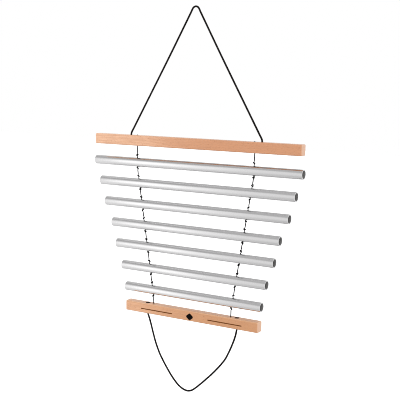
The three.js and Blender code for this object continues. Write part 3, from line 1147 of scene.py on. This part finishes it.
# Studio: a pale floor well below the chime and a soft white tent of light, brightest on the left
studio = {
    "floorHeight": -1.45,
    "floorHalf": 14.0,
    "floorFinish": {
        "Base Color": (0.88, 0.88, 0.88, 1), "Roughness": 0.9, "Specular IOR Level": 0.1,
        "Emission Color": (1, 1, 1, 1), "Emission Strength": 0.285,
    },
    "keyDirection": (-0.906, -0.423, 0.0),
    # stops of place and level. Round the tent, 0 is away from the key and 1 is towards it.
    "walls": [
        (0.0, 0.98), (0.35, 1.06), (0.60, 1.00), (0.80, 0.845), (0.86, 0.89), (0.91, 1.11), (0.94, 1.42),
        (0.975, 1.44), (0.99, 1.05), (1.0, 0.88),
    ],
    # the walls of light reach this much higher there, and this much lower
    "wallRise": [(0.0, 0.0), (0.70, 0.0), (0.85, 0.13), (0.885, 0.09), (0.92, 0.0)],
    "wallDrop": [
        (0.0, 0.0), (0.70, 0.0), (0.85, 0.04), (0.935, 0.04), (0.96, 0.0), (0.98, 0.0), (0.992, 0.20),
    ],
    # up the tent, 0 is straight down, 0.5 is level and 1 is straight up
    "level": 0.5,
    "dome": [(0.0, 0.54), (0.30, 0.60), (0.70, 0.54), (0.86, 0.44), (0.93, 0.54), (1.0, 0.58)],
    "wallShare": [
        (0.0, 0.08), (0.117, 0.24), (0.25, 0.63), (0.42, 1.0), (0.60, 1.0), (0.72, 0.45), (0.79, 0.06),
        (0.83, 0.0),
    ],
    # matt surfaces get this much more light than the metal
    "mattGain": [(0.0, 0.0), (0.35, 0.38), (0.60, 0.43), (1.0, 1.60)],
    # a grey card towards the key keeps the form of tubes seen from their ends
    "cardFrom": 0.985,
    "cardFull": 0.995,
    "cardHalfHeight": 0.08,
    "cardFade": 0.08,
    "card": (0.42, 0.42, 0.42, 1),
    "backdrop": (1, 1, 1, 1),  # what the camera sees of the tent
}


def makeFloor():
    half, height = studio["floorHalf"], studio["floorHeight"]
    corners = [(x * half, y * half, height) for x, y in ((-1, -1), (1, -1), (1, 1), (-1, 1))]
    mesh = bpy.data.meshes.new("floor")
    mesh.from_pydata(corners, [], [(0, 1, 2, 3)])
    floor = newPiece("floor", mesh, newSurface("paleFloor", studio["floorFinish"])[0])
    floor.visible_glossy = False
    floor.visible_diffuse = False


def ramp(tree, value, stops):
    node = addNode(tree, "ShaderNodeValToRGB", {"Fac": value})
    elements = node.color_ramp.elements
    while len(elements) < len(stops):
        elements.new(0.5)  # placed next
    for element, (place, level) in zip(elements, stops):
        element.position = place
        element.color = (level, level, level, 1)
    return node.outputs["Color"]


# From -1 and 1 to 0 and 1
def halved(tree, value):
    return numbers(tree, "ADD", numbers(tree, "MULTIPLY", value, 0.5), 0.5)


def makeTent():
    world = bpy.data.worlds.new("studioTent")
    scene.world = world
    world.use_nodes = True
    tree = world.node_tree
    light = tree.nodes["Background"]
    way = addNode(tree, "ShaderNodeTexCoord").outputs["Generated"]
    level = vectors(tree, "NORMALIZE", vectors(tree, "MULTIPLY", way, (1, 1, 0)))
    towardsKey = halved(tree, vectors(tree, "DOT_PRODUCT", level, studio["keyDirection"], "Value"))
    up = halved(tree, addNode(tree, "ShaderNodeSeparateXYZ", {0: way}).outputs[2])
    walls, dome = ramp(tree, towardsKey, studio["walls"]), ramp(tree, up, studio["dome"])
    lowered = numbers(tree, "SUBTRACT", up, ramp(tree, towardsKey, studio["wallRise"]))
    raised = numbers(tree, "ADD", up, ramp(tree, towardsKey, studio["wallDrop"]))
    shares = [ramp(tree, height, studio["wallShare"]) for height in (lowered, raised)]
    tent = mixColour(tree, numbers(tree, "MAXIMUM", *shares), dome, walls)
    half, fade = studio["cardHalfHeight"], studio["cardFade"]
    fromLevel = numbers(tree, "ABSOLUTE", numbers(tree, "SUBTRACT", up, studio["level"]))
    inHeight = mapRange(tree, fromLevel, half + fade, half)
    inWidth = mapRange(tree, towardsKey, studio["cardFrom"], studio["cardFull"])
    lit = mixColour(tree, numbers(tree, "MULTIPLY", inWidth, inHeight), tent, studio["card"])
    rays = addNode(tree, "ShaderNodeLightPath").outputs
    feed(tree, light.inputs["Color"], mixColour(tree, rays["Is Camera Ray"], lit, studio["backdrop"]))
    gain = numbers(tree, "MULTIPLY", rays["Is Diffuse Ray"], ramp(tree, up, studio["mattGain"]))
    feed(tree, light.inputs["Strength"], numbers(tree, "ADD", gain, 1.0))


makeFloor()
makeTent()
print("studio: floor and light")
